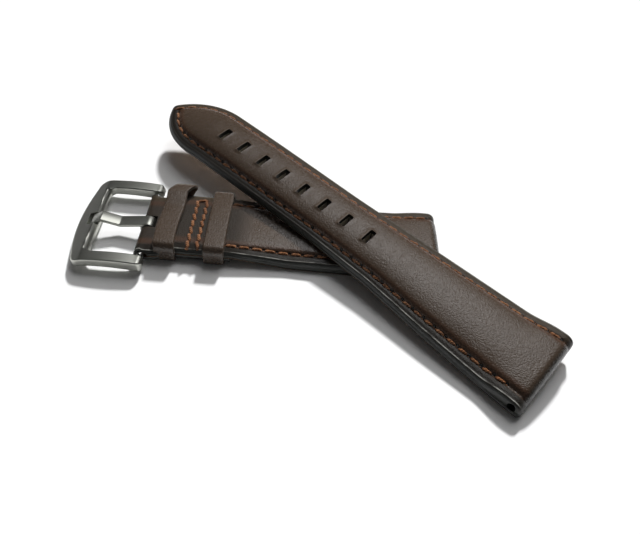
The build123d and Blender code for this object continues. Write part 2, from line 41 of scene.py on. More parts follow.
# Camera: low on the near side of the strap, looking down at the crossing of its two halves,
# and rolled a little so that the short half runs down to the left.
camera_place = Vector((-11.33, -108.16, 109.24)) * mm
camera_turn = radians(-3.469)
camera_height = radians(47.567)
camera_roll = radians(7.405)
camera_lens = 33.815
camera_sensor = 36
camera_level_reach = cos(camera_height)
camera_back = Vector((sin(camera_turn) * camera_level_reach, -cos(camera_turn) * camera_level_reach,
                      sin(camera_height)))
camera_level = Vector((cos(camera_turn), sin(camera_turn), 0))
camera_upright = camera_back.cross(camera_level)
camera_right = camera_level * cos(camera_roll) + camera_upright * sin(camera_roll)
camera_up = camera_upright * cos(camera_roll) - camera_level * sin(camera_roll)
camera_data = bpy.data.cameras.new("camera")
camera_data.sensor_fit = "HORIZONTAL"
camera_data.sensor_width = camera_sensor
camera_data.lens = camera_lens
camera_data.clip_start = 0.01
camera_data.clip_end = 20
camera = bpy.data.objects.new("camera", camera_data)


def place_of(origin, *axes):
    """A place in the shared frame, from its origin and the directions of its three axes."""
    return Matrix.Translation(origin) @ Matrix(axes).transposed().to_4x4()


camera.matrix_world = place_of(camera_place, camera_right, camera_up, camera_back)
bpy.context.scene.collection.objects.link(camera)
bpy.context.scene.camera = camera
bpy.context.scene.view_settings.view_transform = "Standard"

# Stage: a plain pale floor under the strap, a low lamp behind it that throws its shadow to the
# near left, and a dim studio round it with a broad soft window high up behind.
floor_half = 1.5
floor_colour = (0.93, 0.93, 0.93, 1)
lamp_turn = radians(11)
lamp_height = radians(36.5)
lamp_strength = 4.5
lamp_spread = radians(6)
room_level = 0.05
window_level = 3.8
window_way = (0.182, 0.470, 0.864)
window_edges = (0.93, 0.995)


class Value:
    """A value that varies over a surface; arithmetic on it adds the Math nodes that work it out."""

    def __init__(self, finish, socket):
        self.finish = finish
        self.socket = socket

    def maths(self, operation, *terms):
        return self.finish.node("ShaderNodeMath", {"operation": operation}, dict(enumerate(terms)))

    def __add__(self, other):
        return self.maths("ADD", self, other)

    __radd__ = __add__

    def __sub__(self, other):
        return self.maths("SUBTRACT", self, other)

    def __rsub__(self, other):
        return self.maths("SUBTRACT", other, self)

    def __mul__(self, other):
        return self.maths("MULTIPLY", self, other)

    __rmul__ = __mul__

    def __pow__(self, other):
        return self.maths("POWER", self, other)

    def size(self):
        return self.maths("ABSOLUTE", self)

    def wave(self):
        return self.maths("SINE", self)

    def repeat(self, length):
        """Distance to the nearest whole multiple of a length, either side of zero."""
        return self.maths("WRAP", self, length / 2, -length / 2)

    def step(self, low, high):
        """Rises smoothly from 0 at low to 1 at high."""
        return self.finish.node("ShaderNodeMapRange", {"interpolation_type": "SMOOTHSTEP"},
                                {"Value": self, "From Min": low, "From Max": high})

    def near(self, centre, reach):
        """1 at a value and 0 beyond a reach either side of it."""
        return (self - centre).size().step(reach, 0.0)


class Finish:
    """The finish of one material or of the world, whose nodes are all made by one method."""

    def __init__(self, name, owner=None):
        self.owner = owner or bpy.data.materials.new(name)
        self.owner.use_nodes = True
        self.tree = self.owner.node_tree
        self.tree.nodes.clear()

    def node(self, kind, settings=None, values=None, output=0):
        made = self.tree.nodes.new(kind)
        for key, setting in (settings or {}).items():
            setattr(made, key, setting)
        for key, value in (values or {}).items():
            if isinstance(value, Value):
                self.tree.links.new(value.socket, made.inputs[key])
            else:
                made.inputs[key].default_value = value
        return Value(self, made.outputs[output]) if made.outputs else None

    def mix(self, share, first, second):
        """Colour that goes from the first to the second as the share goes from 0 to 1."""
        pair = [c if isinstance(c, Value) else (*c, 1) for c in (first, second)]
        return self.node("ShaderNodeMix", {"data_type": "RGBA"}, {0: share, 6: pair[0], 7: pair[1]}, 2)

    def place(self, stretch=(1, 1, 1)):
        """The point on the piece, in metres, stretched along its axes."""
        point = self.node("ShaderNodeTexCoord", output="Object")
        return self.node("ShaderNodeMapping", {}, {"Vector": point, "Scale": stretch})

    def noise(self, at, scale, detail=3.0, rough=0.55):
        return self.node("ShaderNodeTexNoise", {},
                         {"Vector": at, "Scale": scale, "Detail": detail, "Roughness": rough})

    def map(self, name):
        """The two coordinates of one of the piece's own maps."""
        point = self.node("ShaderNodeUVMap", {"uv_map": name})
        return (self.node("ShaderNodeSeparateXYZ", {}, {"Vector": point}, "X"),
                self.node("ShaderNodeSeparateXYZ", {}, {"Vector": point}, "Y"))

    def bump(self, height, depth):
        return self.node("ShaderNodeBump", {}, {"Height": height, "Distance": depth, "Strength": 1.0})

    def surface(self, **values):
        """The outer coat; a name's underscores stand for spaces."""
        named = {key.replace("_", " "): value for key, value in values.items()}
        coat = self.node("ShaderNodeBsdfPrincipled", {}, named)
        self.node("ShaderNodeOutputMaterial", {}, {"Surface": coat})
        return self.owner


def formed(name, bm, materials):
    """Turns a bmesh into a named object of the scene, with its materials."""
    data = bpy.data.meshes.new(name)
    bm.to_mesh(data)
    bm.free()
    for material in materials:
        data.materials.append(material)
    made = bpy.data.objects.new(name, data)
    bpy.context.scene.collection.objects.link(made)
    return made


floor_paper = Finish("floor_paper").surface(Base_Color=floor_colour, Roughness=0.9, Specular_IOR_Level=0.0)
floor_sheet = bmesh.new()
bmesh.ops.create_grid(floor_sheet, x_segments=1, y_segments=1, size=floor_half)
floor = formed("floor", floor_sheet, [floor_paper])

lamp_data = bpy.data.lights.new("lamp", "SUN")
lamp_data.energy = lamp_strength
lamp_data.angle = lamp_spread
lamp = bpy.data.objects.new("lamp", lamp_data)
lamp.visible_glossy = False
lamp_from = Vector((sin(lamp_turn) * cos(lamp_height), cos(lamp_turn) * cos(lamp_height), sin(lamp_height)))
lamp.rotation_euler = lamp_from.to_track_quat("Z", "Y").to_euler()
bpy.context.scene.collection.objects.link(lamp)

world = bpy.data.worlds.new("studio")
bpy.context.scene.world = world
studio = Finish("studio", world)
facing = studio.node("ShaderNodeTexCoord", output="Generated")
toward = studio.node("ShaderNodeVectorMath", {"operation": "DOT_PRODUCT"},
                     {0: facing, 1: window_way}, "Value")
studio_level = room_level + (window_level - room_level) * toward.step(*window_edges)
seen = studio.node("ShaderNodeLightPath", output="Is Camera Ray")
level = seen + (1 - seen) * studio_level
studio.node("ShaderNodeOutputWorld", {}, {"Surface": studio.node(
    "ShaderNodeBackground", {}, {"Color": (1, 1, 1, 1), "Strength": level})})

# Top leather of the long half: one dark greyish-brown hide drawn over the filler, creased along
# its edge, sunk along the seam, rolled round the spring bar channel and punched with slots.
long_lug_to_crossing = 58.2 * mm
crossing_angle = radians(39.5)
rise_angle = radians(3.3)
roll_angle = radians(6.1)
half_lug = 11 * mm
half_buckle = 10 * mm
lining_thickness = 1.2 * mm
lug_corner_radius = 1.2 * mm
lug_roll_radius = 2.6 * mm
lug_pad_heights = Vector((3.8, 4.1, 4.3)) * mm
lug_pad_end = 12 * mm
lug_pad_fade = 8 * mm
channel_radius = 1.0 * mm
channel_to_end = 2.5 * mm
channel_height = 2.5 * mm
stitch_inset = 2.6 * mm
row_to_lug = 2.6 * mm
stitch_pitch = 3.2 * mm
long_taper_length = 62 * mm
long_heights_at_lug = Vector((2.6, 3.3, 5.0)) * mm
long_heights_at_tail = Vector((2.0, 2.8, 4.6)) * mm
near_drift = ((0, 1.2), (10, 1.0), (20, 0.5), (28, 0.0), (36, -0.7), (45, -1.4), (62, -1.6), (75, -1.5),
              (88, -1.3), (103, -1.1), (118, -0.2))
tip_radius = 19.5 * mm
nose_radius = 2 * mm
tip_start = 106.17 * mm
tip_centre_side = half_buckle - tip_radius
nose_along = tip_start + sqrt((tip_radius - nose_radius) ** 2 - tip_centre_side ** 2)
tip_along = nose_along + nose_radius
nose_angle = atan2(-tip_centre_side, nose_along - tip_start)
droop_start = 80 * mm
droop_depth = 1.0 * mm
slot_count = 8
first_slot = 50.9 * mm
slot_spacing = 7.17 * mm
slot_half_length = 2.2 * mm
slot_half_width = 0.85 * mm
slot_corner = 0.35 * mm
slot_corner_cut = 0.7
slot_tip_lip = 0.208 * mm
slot_lug_lip = 0.08 * mm
slot_lip_reach = 0.4 * mm
edge_radius = 0.7 * mm
crease_inset = 0.95 * mm
crease_depth = 0.05 * mm
crease_reach = 0.14 * mm
bead_inset = 0.6 * mm
bead_height = 0.1 * mm
bead_reach = 0.2 * mm
groove_depth = 0.36 * mm
groove_reach = 0.6 * mm
crown_fullness = 0.55
edge_swell = 0.2 * mm
bore_segments = 24
bore_length = 2.4 * half_lug
sheet_step = 0.7 * mm
wall_cuts = 4
weld = 0.002 * mm
near_enough = 0.01 * mm


def half_place(origin, along, up):
    """Where a half's own frame is: X along it from its lug end, Y to its near side, Z up."""
    return place_of(origin, along, up.cross(along), up)


long_along = Vector((-cos(crossing_angle) * cos(rise_angle), sin(crossing_angle) * cos(rise_angle),
                     sin(rise_angle)))
long_level_side = Vector((-sin(crossing_angle), -cos(crossing_angle), 0))
long_up = long_along.cross(long_level_side) * cos(roll_angle) + long_level_side * sin(roll_angle)
cross_height = long_lug_to_crossing * sin(rise_angle) + half_lug * sin(roll_angle)
long_origin = Vector((0, 0, cross_height)) - long_along * long_lug_to_crossing
long_half = half_place(long_origin, long_along, long_up)


def rounded_end(distance, radius):
    """How far a rounded corner falls back, at a distance from where the corner would be."""
    if distance >= radius:
        return 0.0
    return radius - sqrt(max(radius ** 2 - (radius - distance) ** 2, 0.0))


def half_width(along, taper_length):
    """Half the strap's width: it narrows evenly, then stays parallel, and its lug corners are round."""
    share = min(along / taper_length, 1)
    return half_lug + (half_buckle - half_lug) * share - rounded_end(along, lug_corner_radius)


def long_half_width(along):
    """Half the long half's width, down to nothing at its pointed tip."""
    if along <= tip_start:
        return half_width(along, long_taper_length)
    if along <= nose_along + nose_radius * cos(nose_angle):
        return tip_centre_side + sqrt(tip_radius ** 2 - (along - tip_start) ** 2)
    return sqrt(max(nose_radius ** 2 - (along - nose_along) ** 2, 0.0))


def long_edge_distance(along, side):
    """Distance from a point of the long half to the nearest part of its side edges."""
    if along <= tip_start:
        return half_width(max(along, lug_corner_radius), long_taper_length) - abs(side)
    if abs(atan2(side, along - nose_along)) < nose_angle and along > nose_along:
        return nose_radius - hypot(along - nose_along, side)
    return tip_radius - hypot(along - tip_start, abs(side) - tip_centre_side)


def long_crown_share(along, side):
    """How far the padding lifts the leather: 0 at the seam and 1 in the middle."""
    if along <= tip_start:
        inner = half_width(along, long_taper_length) - stitch_inset
        return max(1 - (side / inner) ** 2, 0.0)
    inner = half_buckle - stitch_inset
    seam = tip_radius - stitch_inset
    near = seam - hypot(along - tip_start, side - tip_centre_side)
    far = seam - hypot(along - tip_start, -side - tip_centre_side)
    return max(near, 0.0) * max(far, 0.0) / inner ** 2


def bell(distance, reach):
    """1 at no distance, falling smoothly away over a reach."""
    return exp(-((distance / reach) ** 2))


def skin_height(distance, crown_share, heights, depth_share=1.0):
    """Height of a top leather at a distance from its edge: edge, crease, bead, groove and crown."""
    edge, stitch, crown = heights
    height = edge + (stitch - edge) * min(distance / stitch_inset, 1)
    height += (crown - stitch) * crown_share ** crown_fullness - rounded_end(distance, edge_radius)
    height += depth_share * bead_height * bell(distance - bead_inset, bead_reach)
    height -= depth_share * crease_depth * bell(distance - crease_inset, crease_reach)
    height -= depth_share * groove_depth * bell(distance - stitch_inset, groove_reach)
    return height


def share_of(value, start, reach):
    """How far a value is past a start, as a share of a reach between 0 and 1."""
    return min(max((value - start) / reach, 0), 1)


def eased(share):
    """A share that starts and ends gently."""
    return share * share * (3 - 2 * share)


def turned_end(along, heights):
    """Heights of the top leather, raised at a lug end where it is turned round the channel."""
    share = eased(share_of(-along, -lug_pad_end, lug_pad_fade))
    return Vector([low + max(full - low, 0) * share for low, full in zip(heights, lug_pad_heights)])


def long_heights(along):
    """Heights of the long half's top leather at its edge, its seam and its middle."""
    share = min(along / long_taper_length, 1)
    return turned_end(along, long_heights_at_lug.lerp(long_heights_at_tail, share))


def from_slot(along):
    """How far toward the tip a place is from the middle of the nearest slot."""
    number = min(max(round((along - first_slot) / slot_spacing), 0), slot_count - 1)
    return along - first_slot - number * slot_spacing


def long_top_height(along, side):
    """Height of the long half's top leather, with the raised lips of its holes."""
    distance = long_edge_distance(along, side)
    height = skin_height(distance, long_crown_share(along, side), long_heights(along))
    ahead = from_slot(along)
    gap = hypot(max(abs(ahead) - slot_half_width, 0), max(abs(side) - slot_half_length, 0))
    height += (slot_tip_lip if ahead > 0 else slot_lug_lip) * bell(gap, slot_lip_reach)
    return height - rounded_end(along, lug_roll_radius)


def droop(along):
    """How far the unsupported end of the long half sinks toward the table."""
    past = max(along - droop_start, 0) / (tip_along - droop_start)
    return droop_depth * past ** 2


def knots(along, table):
    """A value along a half, straight between the places of a short table."""
    for (first, low), (second, high) in zip(table, table[1:]):
        if along <= second:
            return low + (high - low) * (along - first) / (second - first)
    return table[-1][1]


def long_point(along, side, height):
    """A point of the long half in the shared frame; its near side is drawn in and out a little."""
    near_share = max(side, 0) / half_width(max(along, lug_corner_radius), long_taper_length)
    drift = knots(along / mm, near_drift) * mm * near_share
    point = long_half @ Vector((along, side + drift, height - droop(along)))
    point.z = max(point.z, 0)
    return point


long_path_taper = hypot(long_taper_length - row_to_lug,
                        half_width(row_to_lug, long_taper_length) - half_buckle)
long_path_plain = tip_start - long_taper_length
long_path_tip = (tip_radius - stitch_inset) * acos(-tip_centre_side / (tip_radius - stitch_inset))
long_path = 2 * (long_path_taper + long_path_plain + long_path_tip)
long_stitch_count = round(long_path / stitch_pitch)
long_pitch = long_path / long_stitch_count


def long_seam_run(along, side):
    """Distance along the seam from its start at the lug end, beside a point of the long half."""
    if along <= long_taper_length:
        return (along - row_to_lug) * long_path_taper / (long_taper_length - row_to_lug)
    if along <= tip_start:
        return long_path_taper + along - long_taper_length
    turn = atan2(along - tip_start, abs(side) - tip_centre_side)
    return long_path_taper + long_path_plain + (tip_radius - stitch_inset) * turn


def spaced(start, end, step):
    """Evenly spaced lines from a start up to an end, no further apart than a step."""
    count = max(round((end - start) / step), 1)
    return [start + (end - start) * number / count for number in range(count)]


def closing(start, end, count, power):
    """Lines from a start to an end that close up toward the end."""
    return [end + (start - end) * (1 - number / count) ** power for number in range(count)]


def sheet(runs, tracks, dropped, shaped):
    """A closed sheet of leather on lines along and across it, with openings, as a shaped bmesh.

    Each vertex starts as (run, track, layer), with layer 0 on its inner side and 1 on its outer one."""
    bm = bmesh.new()
    across, up = len(runs) - 1, len(tracks) - 1
    bmesh.ops.create_grid(bm, x_segments=across, y_segments=up, size=1)
    for vertex in bm.verts:
        column = round((vertex.co.x + 1) / 2 * across)
        row = round((vertex.co.y + 1) / 2 * up)
        vertex.co = (runs[column], tracks[row], 0)
    gone = [face for face in bm.faces if dropped(*face.calc_center_median().xy)]
    bmesh.ops.delete(bm, geom=gone, context="FACES")
    outer = bmesh.ops.extrude_face_region(bm, geom=bm.faces[:], use_keep_orig=True)
    for vertex in outer["geom"]:
        if isinstance(vertex, bmesh.types.BMVert):
            vertex.co.z = 1
    walls = [edge for edge in bm.edges if abs(edge.verts[0].co.z - edge.verts[1].co.z) > 0.5]
    bmesh.ops.subdivide_edges(bm, edges=walls, cuts=wall_cuts)
    seam = bm.loops.layers.uv.new("seam")
    plan = bm.loops.layers.uv.new("plan")
    placed = {vertex: shaped(*vertex.co) for vertex in bm.verts}
    for face in bm.faces:
        face.smooth = True
        layers = [vertex.co.z for vertex in face.verts]
        face.material_index = 0 if min(layers) > 0.99 else 2 if max(layers) < 0.01 else 1
        for loop in face.loops:
            loop[seam].uv = placed[loop.vert][1]
            loop[plan].uv = placed[loop.vert][2]
    for vertex in bm.verts:
        vertex.co = placed[vertex][0]
    bmesh.ops.remove_doubles(bm, verts=bm.verts, dist=weld)
    bmesh.ops.recalc_face_normals(bm, faces=bm.faces)
    return bm


def piece(name, bm, body, slot, materials, replaced, sharp=50):
    """Turns a bmesh into a named piece that rides on a body and stands for its nodes."""
    made = formed(name, bm, materials)
    made.data.set_sharp_from_angle(angle=radians(sharp))
    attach(made, body)
    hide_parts(*replaced)
    return made


def bulge(track, layer, swell):
    """How far the cut edge of a sheet swells out to its side, between its two faces."""
    if abs(track) < 0.999:
        return 0.0
    return swell * sin(pi * layer) * (1 if track > 0 else -1)


def near_slot(along, track):
    """Whether a cell of the sheet lies in a slot, leaving the small cells that round its corners."""
    ahead = abs(from_slot(along))
    beside = abs(track) * half_buckle
    if ahead > slot_half_width or beside > slot_half_length:
        return False
    return not (ahead > slot_half_width - slot_corner and beside > slot_half_length - slot_corner)


def both_sides(tracks):
    """Lines across a sheet from those of one half of it, given from its edge inward."""
    return [-track for track in tracks] + [0] + tracks[::-1]


margin_tracks = [1 - 4.2 * mm / half_buckle * (number / 22) ** 1.5 for number in range(22)]
slot_tracks = [side * mm / half_buckle
               for side in (5.8, 5.1, 4.4, 3.8, 3.3, 2.9, 2.6, 2.4, 2.28, 2.2, 1.85, 1.2, 0.6)]
long_tracks = both_sides(margin_tracks + slot_tracks)
slot_lines = [ahead * mm for ahead in (-2.2, -1.7, -1.3, -1.1, -0.96, -0.85, -0.5,
                                       0.5, 0.85, 0.96, 1.1, 1.3, 1.7)]
slot_clear = 2.2 * mm
lug_runs_end = 3 * mm
lug_runs = [lug_runs_end * (number / 12) ** 1.6 for number in range(12)]
long_runs = lug_runs + spaced(lug_runs_end, first_slot - slot_clear, sheet_step)
for slot_number in range(slot_count):
    slot_at = first_slot + slot_number * slot_spacing
    long_runs += [slot_at + ahead for ahead in slot_lines]
    long_runs += spaced(slot_at + slot_clear, slot_at + slot_spacing - slot_clear, sheet_step)
long_runs = [run for run in long_runs if run < tip_start - 0.3 * mm]
long_runs += closing(tip_start, tip_along, 40, 2) + [tip_along]


def long_sheet_point(low, high):
    """Shaper for a sheet of the long half between a lower and an upper height."""

    def shaped(along, track, layer):
        side = track * long_half_width(along)
        ahead = from_slot(along)
        if (abs(abs(ahead) - slot_half_width + slot_corner) < near_enough
                and abs(abs(track) * half_buckle - slot_half_length + slot_corner) < near_enough):
            along += slot_corner * slot_corner_cut * (1 if ahead > 0 else -1)
            side += slot_corner * slot_corner_cut * (1 if side > 0 else -1)
        distance = long_edge_distance(along, side)
        height = low(along, side) * (1 - layer) + high(along, side) * layer
        side += bulge(track, layer, edge_swell)
        run = long_seam_run(along, side)
        return (long_point(along, side, height), (run / long_pitch, distance / mm), (along / mm, side / mm))

    return shaped


def grain(finish, at, scale):
    """Height of the fine pebbles of a hide's grain, with a few longer wrinkles among them."""
    pebbles = finish.node("ShaderNodeTexVoronoi", {"feature": "SMOOTH_F1"},
                          {"Vector": at, "Scale": scale, "Smoothness": 0.6, "Randomness": 1.0}, "Distance")
    wrinkles = finish.noise(at, scale * 1.1, 3.0, 0.6)
    return (1 - pebbles) * 0.7 + wrinkles * 0.4


def top_hide(name, seam_end, punched=False, dark_from=1000.0, near_skip=0.0, bead_glint_to=1000.0):
    """Dark greyish-brown calf: olive margins, a burnished seam with its holes and a fine grain.

    It is matte and darker from one distance along the half, and its edge bead carries a painted highlight
    up to another, both in millimetres; the seam starts a number of stitches late on the near side.
    The near margin, the needle holes and the turned lug end are painted darker as painted shade, and
    punched slots carry a painted highlight on their tip-ward edge."""
    finish = Finish(name)
    at = finish.place()
    run, distance = finish.map("seam")
    along, side = finish.map("plan")
    cloud = finish.noise(at, 140.0, 3.0)
    speck = finish.noise(at, 3200.0, 3.0, 0.6)
    colour = finish.mix(cloud, (0.048, 0.032, 0.021), (0.069, 0.048, 0.034))
    colour = finish.mix(speck.step(0.5, 0.75) * 0.35, colour, (0.11, 0.088, 0.070))
    matte = along.step(dark_from, dark_from + 6.0)
    colour = finish.mix(matte, colour, (0.024, 0.018, 0.013))
    burnt = distance.near(3.5, 1.3) * 0.7 + distance.near(2.6, 0.9) * 0.3
    colour = finish.mix(burnt, colour, (0.060, 0.029, 0.016))
    # The margin outside the seam is olive on the far side and painted darker on the near side: painted
    # shade on the near margin.
    near_side = side.step(-1.0, 1.0)
    margin = finish.mix(near_side, (0.038, 0.027, 0.016), (0.014, 0.011, 0.008))
    colour = finish.mix(distance.step(2.5, 1.9), colour, margin)
    colour = finish.mix(distance.step(0.5, 0.25), colour, (0.018, 0.020, 0.017))
    fine = 1.0
    if punched:
        ahead = (along - first_slot / mm).repeat(slot_spacing / mm)
        # Each slot's tip-ward lip is painted pale: a painted highlight where that side faces the light.
        lip_glint = ahead.near(1.06, 0.3) * side.size().step(2.4, 1.9)
        lip_glint = lip_glint * along.step(48.0, 49.0) * along.step(105.0, 104.0)
        colour = finish.mix(lip_glint * 0.55, colour, (0.19, 0.165, 0.14))
        fine = along.step(108.0, 92.0) * 0.7 + 0.3
    # A broken pale line on the edge bead, strongest on the near side and toward the lug end, is a painted
    # highlight: the bead's glint.
    bead_glint = distance.near(0.66, 0.18) * finish.noise(at, 260.0, 3.0).step(0.3, 0.6)
    bead_glint = bead_glint * (near_side * 0.8 + 0.2) * along.step(bead_glint_to + 30.0, bead_glint_to)
    colour = finish.mix(bead_glint, colour, (0.34, 0.34, 0.31))
    # The turned lug end is painted darker: painted shade where the leather rolls down away from the light.
    colour = finish.mix(along.step(2.0, 0.6), colour, (0.020, 0.016, 0.012))
    # The needle holes at the stitch ends are painted near black, as painted shade in the holes, and dented
    # in the bump.
    sewn_part = (run - near_side * near_skip).step(-0.3, -0.2) * run.step(seam_end + 0.3, seam_end + 0.2)
    hole = ((run.repeat(1.0) * 3.2) ** 2 + (distance - 2.6) ** 2).step(0.22, 0.06) * sewn_part
    colour = finish.mix(hole, colour, (0.004, 0.003, 0.002))
    pebbles = grain(finish, at, 3300.0) * fine
    height = pebbles + finish.noise(at, 300.0, 2.0) * 0.3 - hole * 3.0
    gloss = 0.27 + (finish.noise(at, 900.0, 2.0) - 0.5) * 0.16
    gloss = gloss + matte * 0.3 + distance.step(2.4, 1.9) * 0.2
    return finish.surface(Base_Color=colour, Roughness=gloss, Specular_IOR_Level=0.6,
                          Normal=finish.bump(height, 0.00009))


def painted_edge(name, dark=(0.012, 0.013, 0.010), wear_and_glint_to=(0.026, 0.029, 0.024)):
    """A cut edge of the leather, sealed with near-black edge paint that has gone a little paler in patches
    from wear.
    On the keepers the edge is paler still, its patches partly wear and partly a painted highlight where the
    edge catches the light.
    """
    finish = Finish(name)
    at = finish.place()
    wear_and_glint = finish.noise(at, 700.0, 3.0)
    colour = finish.mix(wear_and_glint, dark, wear_and_glint_to)
    return finish.surface(Base_Color=colour, Roughness=0.3 + wear_and_glint * 0.15,
                          Normal=finish.bump(finish.noise(at, 1400.0, 3.0), 0.00004))


top_leather = top_hide("top_leather", long_stitch_count, punched=True, near_skip=1.0, bead_glint_to=42.0)
edge_paint = painted_edge("edge_paint")


def lining_top(along, side):
    """Height of the lining's upper face, on which the top leather is glued."""
    return lining_thickness


long_top = sheet(long_runs, long_tracks, near_slot, long_sheet_point(lining_top, long_top_height))
long_top_piece = piece("long_top_leather_piece", long_top, "long_half", "top_leather",
                       (top_leather, edge_paint, edge_paint), ["long_top_leather"])


def bored(part, place, radius, length, finish):
    """Bores a round hole through a piece, along the Y of a place, and applies the cut."""
    rod = bmesh.new()
    bmesh.ops.create_cone(rod, cap_ends=True, segments=bore_segments, radius1=radius, radius2=radius,
                          depth=length)
    bmesh.ops.transform(rod, matrix=place @ Matrix.Rotation(pi / 2, 4, "X"), verts=rod.verts)
    rod_object = formed("rod", rod, [finish])
    cut = part.modifiers.new("bore", "BOOLEAN")
    cut.operation = "DIFFERENCE"
    cut.solver = "EXACT"
    cut.material_mode = "TRANSFER"
    cut.object = rod_object
    view = bpy.context.evaluated_depsgraph_get()
    view.update()
    carved = bpy.data.meshes.new_from_object(part.evaluated_get(view), preserve_all_data_layers=True,
                                             depsgraph=view)
    part.modifiers.clear()
    carved.name = part.data.name
    part.data = carved
    bpy.data.objects.remove(rod_object)


channel_place = Matrix.Translation((channel_to_end, 0, channel_height))
bored(long_top_piece, long_half @ channel_place, channel_radius, bore_length, edge_paint)

# Lining of the long half: flat brown leather with a close grain, glued under the filler and the
# top leather's margin, punched together with them and painted along its cut edge.
lining_edge_radius = 0.35 * mm


def lining_hide(name):
    """Matte brown lining leather with a close grain."""
    finish = Finish(name)
    at = finish.place()
    cloud = finish.noise(at, 180.0, 3.0)
    fleck = finish.noise(at, 2200.0, 4.0, 0.65)
    colour = finish.mix(cloud, (0.135, 0.082, 0.048), (0.185, 0.118, 0.072))
    colour = finish.mix(fleck.step(0.55, 0.75) * 0.45, colour, (0.08, 0.048, 0.028))
    return finish.surface(Base_Color=colour, Roughness=0.62 + (fleck - 0.5) * 0.2,
                          Normal=finish.bump(grain(finish, at, 2100.0), 0.00004))


def long_lining_bottom(along, side):
    """Height of the long half's underside, whose edges are a little rounded."""
    edge = rounded_end(long_edge_distance(along, side), lining_edge_radius)
    return edge + rounded_end(along, lining_edge_radius)


lining_leather = lining_hide("lining_leather")
long_lining = sheet(long_runs, long_tracks, near_slot, long_sheet_point(long_lining_bottom, lining_top))
piece("long_lining_piece", long_lining, "long_half", "lining_leather",
      (edge_paint, edge_paint, lining_leather), ["long_lining"])

# Stitching of the long half: waxed copper-brown thread of three plies, twisted, each stitch dipping
# into its holes and lying a little aslant in the sunken seam.
stitch_length = 2.95 * mm
thread_radius = 0.37 * mm
thread_around = 9
thread_steps = 8
thread_twist = radians(24)
stitch_slant = radians(5)
stitch_rise = 0.16 * mm
stub_radius = 0.2 * mm
stub_aside = 0.34 * mm
stub_drop = 0.2 * mm
thread_sharp = 80
ply_depth = 0.16


def stitch_mesh():
    """One stitch of twisted thread along X, with its ends bent down."""
    bm = bmesh.new()
    ring = bmesh.ops.create_circle(bm, segments=thread_around, radius=1)["verts"]
    twist = bm.loops.layers.uv.new("twist")
    for number, vertex in enumerate(ring):
        angle = 2 * pi * number / thread_around
        lobe = 1 + ply_depth * cos(3 * angle)
        vertex.co = (0, cos(angle) * lobe, sin(angle) * lobe)
    rings = [ring]
    edges = bm.edges[:]
    for _ in range(thread_steps):
        grown = bmesh.ops.extrude_edge_only(bm, edges=edges)["geom"]
        edges = [item for item in grown if isinstance(item, bmesh.types.BMEdge)
                 and all(v not in rings[-1] for v in item.verts)]
        fresh = [item for item in grown if isinstance(item, bmesh.types.BMVert)]
        bmesh.ops.rotate(bm, verts=fresh, cent=(0, 0, 0), matrix=Matrix.Rotation(thread_twist, 3, "X"))
        rings.append(fresh)
    for step, verts in enumerate(rings):
        share = step / thread_steps
        swell = 0.55 + 0.45 * sin(pi * min(max(share, 0.04), 0.96)) ** 0.5
        dip = thread_radius * 1.7 * abs(2 * share - 1) ** 5
        for vertex in verts:
            spread = vertex.co.copy()
            vertex.co = ((share - 0.5) * stitch_length, spread.y * thread_radius * swell,
                         spread.z * thread_radius * swell * 0.85 - dip)
    bmesh.ops.holes_fill(bm, edges=bm.edges, sides=thread_around)
    stub_place = Matrix.Translation((-0.53 * stitch_length, stub_aside, -stub_drop))
    bmesh.ops.create_icosphere(bm, subdivisions=1, radius=stub_radius, matrix=stub_place)
    bmesh.ops.recalc_face_normals(bm, faces=bm.faces)
    for face in bm.faces:
        face.smooth = True
        for loop in face.loops:
            at = loop.vert.co
            loop[twist].uv = (at.x / stitch_length, atan2(at.z, at.y) / (2 * pi))
    data = bpy.data.meshes.new("stitch")
    bm.to_mesh(data)
    bm.free()
    return data


one_stitch = stitch_mesh()


def sewn(places):
    """A row of stitches, one at each place, each a little different from the last."""
    row = bmesh.new()
    number = row.loops.layers.uv.new("number")
    for count, place in enumerate(places):
        start = len(row.verts)
        faces = len(row.faces)
        row.from_mesh(one_stitch)
        row.verts.ensure_lookup_table()
        row.faces.ensure_lookup_table()
        wobble = Matrix.Rotation(radians(3.5) * sin(count * 2.4), 4, "Z")
        stretch = Matrix.Diagonal((1 + 0.05 * sin(count * 1.7), 1 + 0.07 * sin(count * 3.1), 1, 1))
        bmesh.ops.transform(row, matrix=place @ wobble @ stretch, verts=row.verts[start:])
        for face in row.faces[faces:]:
            for loop in face.loops:
                loop[number].uv = (count * 0.37 % 1, 0)
    return row


def waxed_thread(name):
    """Copper-brown thread, with painted shade darkening the twist between its plies."""
    finish = Finish(name)
    at = finish.place()
    number, _ = finish.map("number")
    along, turn = finish.map("twist")
    ply = ((turn * 3 + along * 4.5) * 2 * pi).wave() * 0.5 + 0.5
    tone = finish.noise(at, 500.0, 2.0)
    colour = finish.mix(tone.step(0.3, 0.7), (0.19, 0.070, 0.022), (0.34, 0.138, 0.050))
    colour = finish.mix(number * 0.3, colour, (0.50, 0.25, 0.12))
    # Painted shade: the twist between the plies is painted dark.
    colour = finish.mix((1 - ply) * 0.6, colour, (0.07, 0.020, 0.008))
    fibre = finish.noise(at, 5000.0, 2.0)
    return finish.surface(Base_Color=colour, Roughness=0.5, Normal=finish.bump(ply + fibre * 0.5, 0.00008),
                          Sheen_Weight=0.15, Sheen_Roughness=0.5)


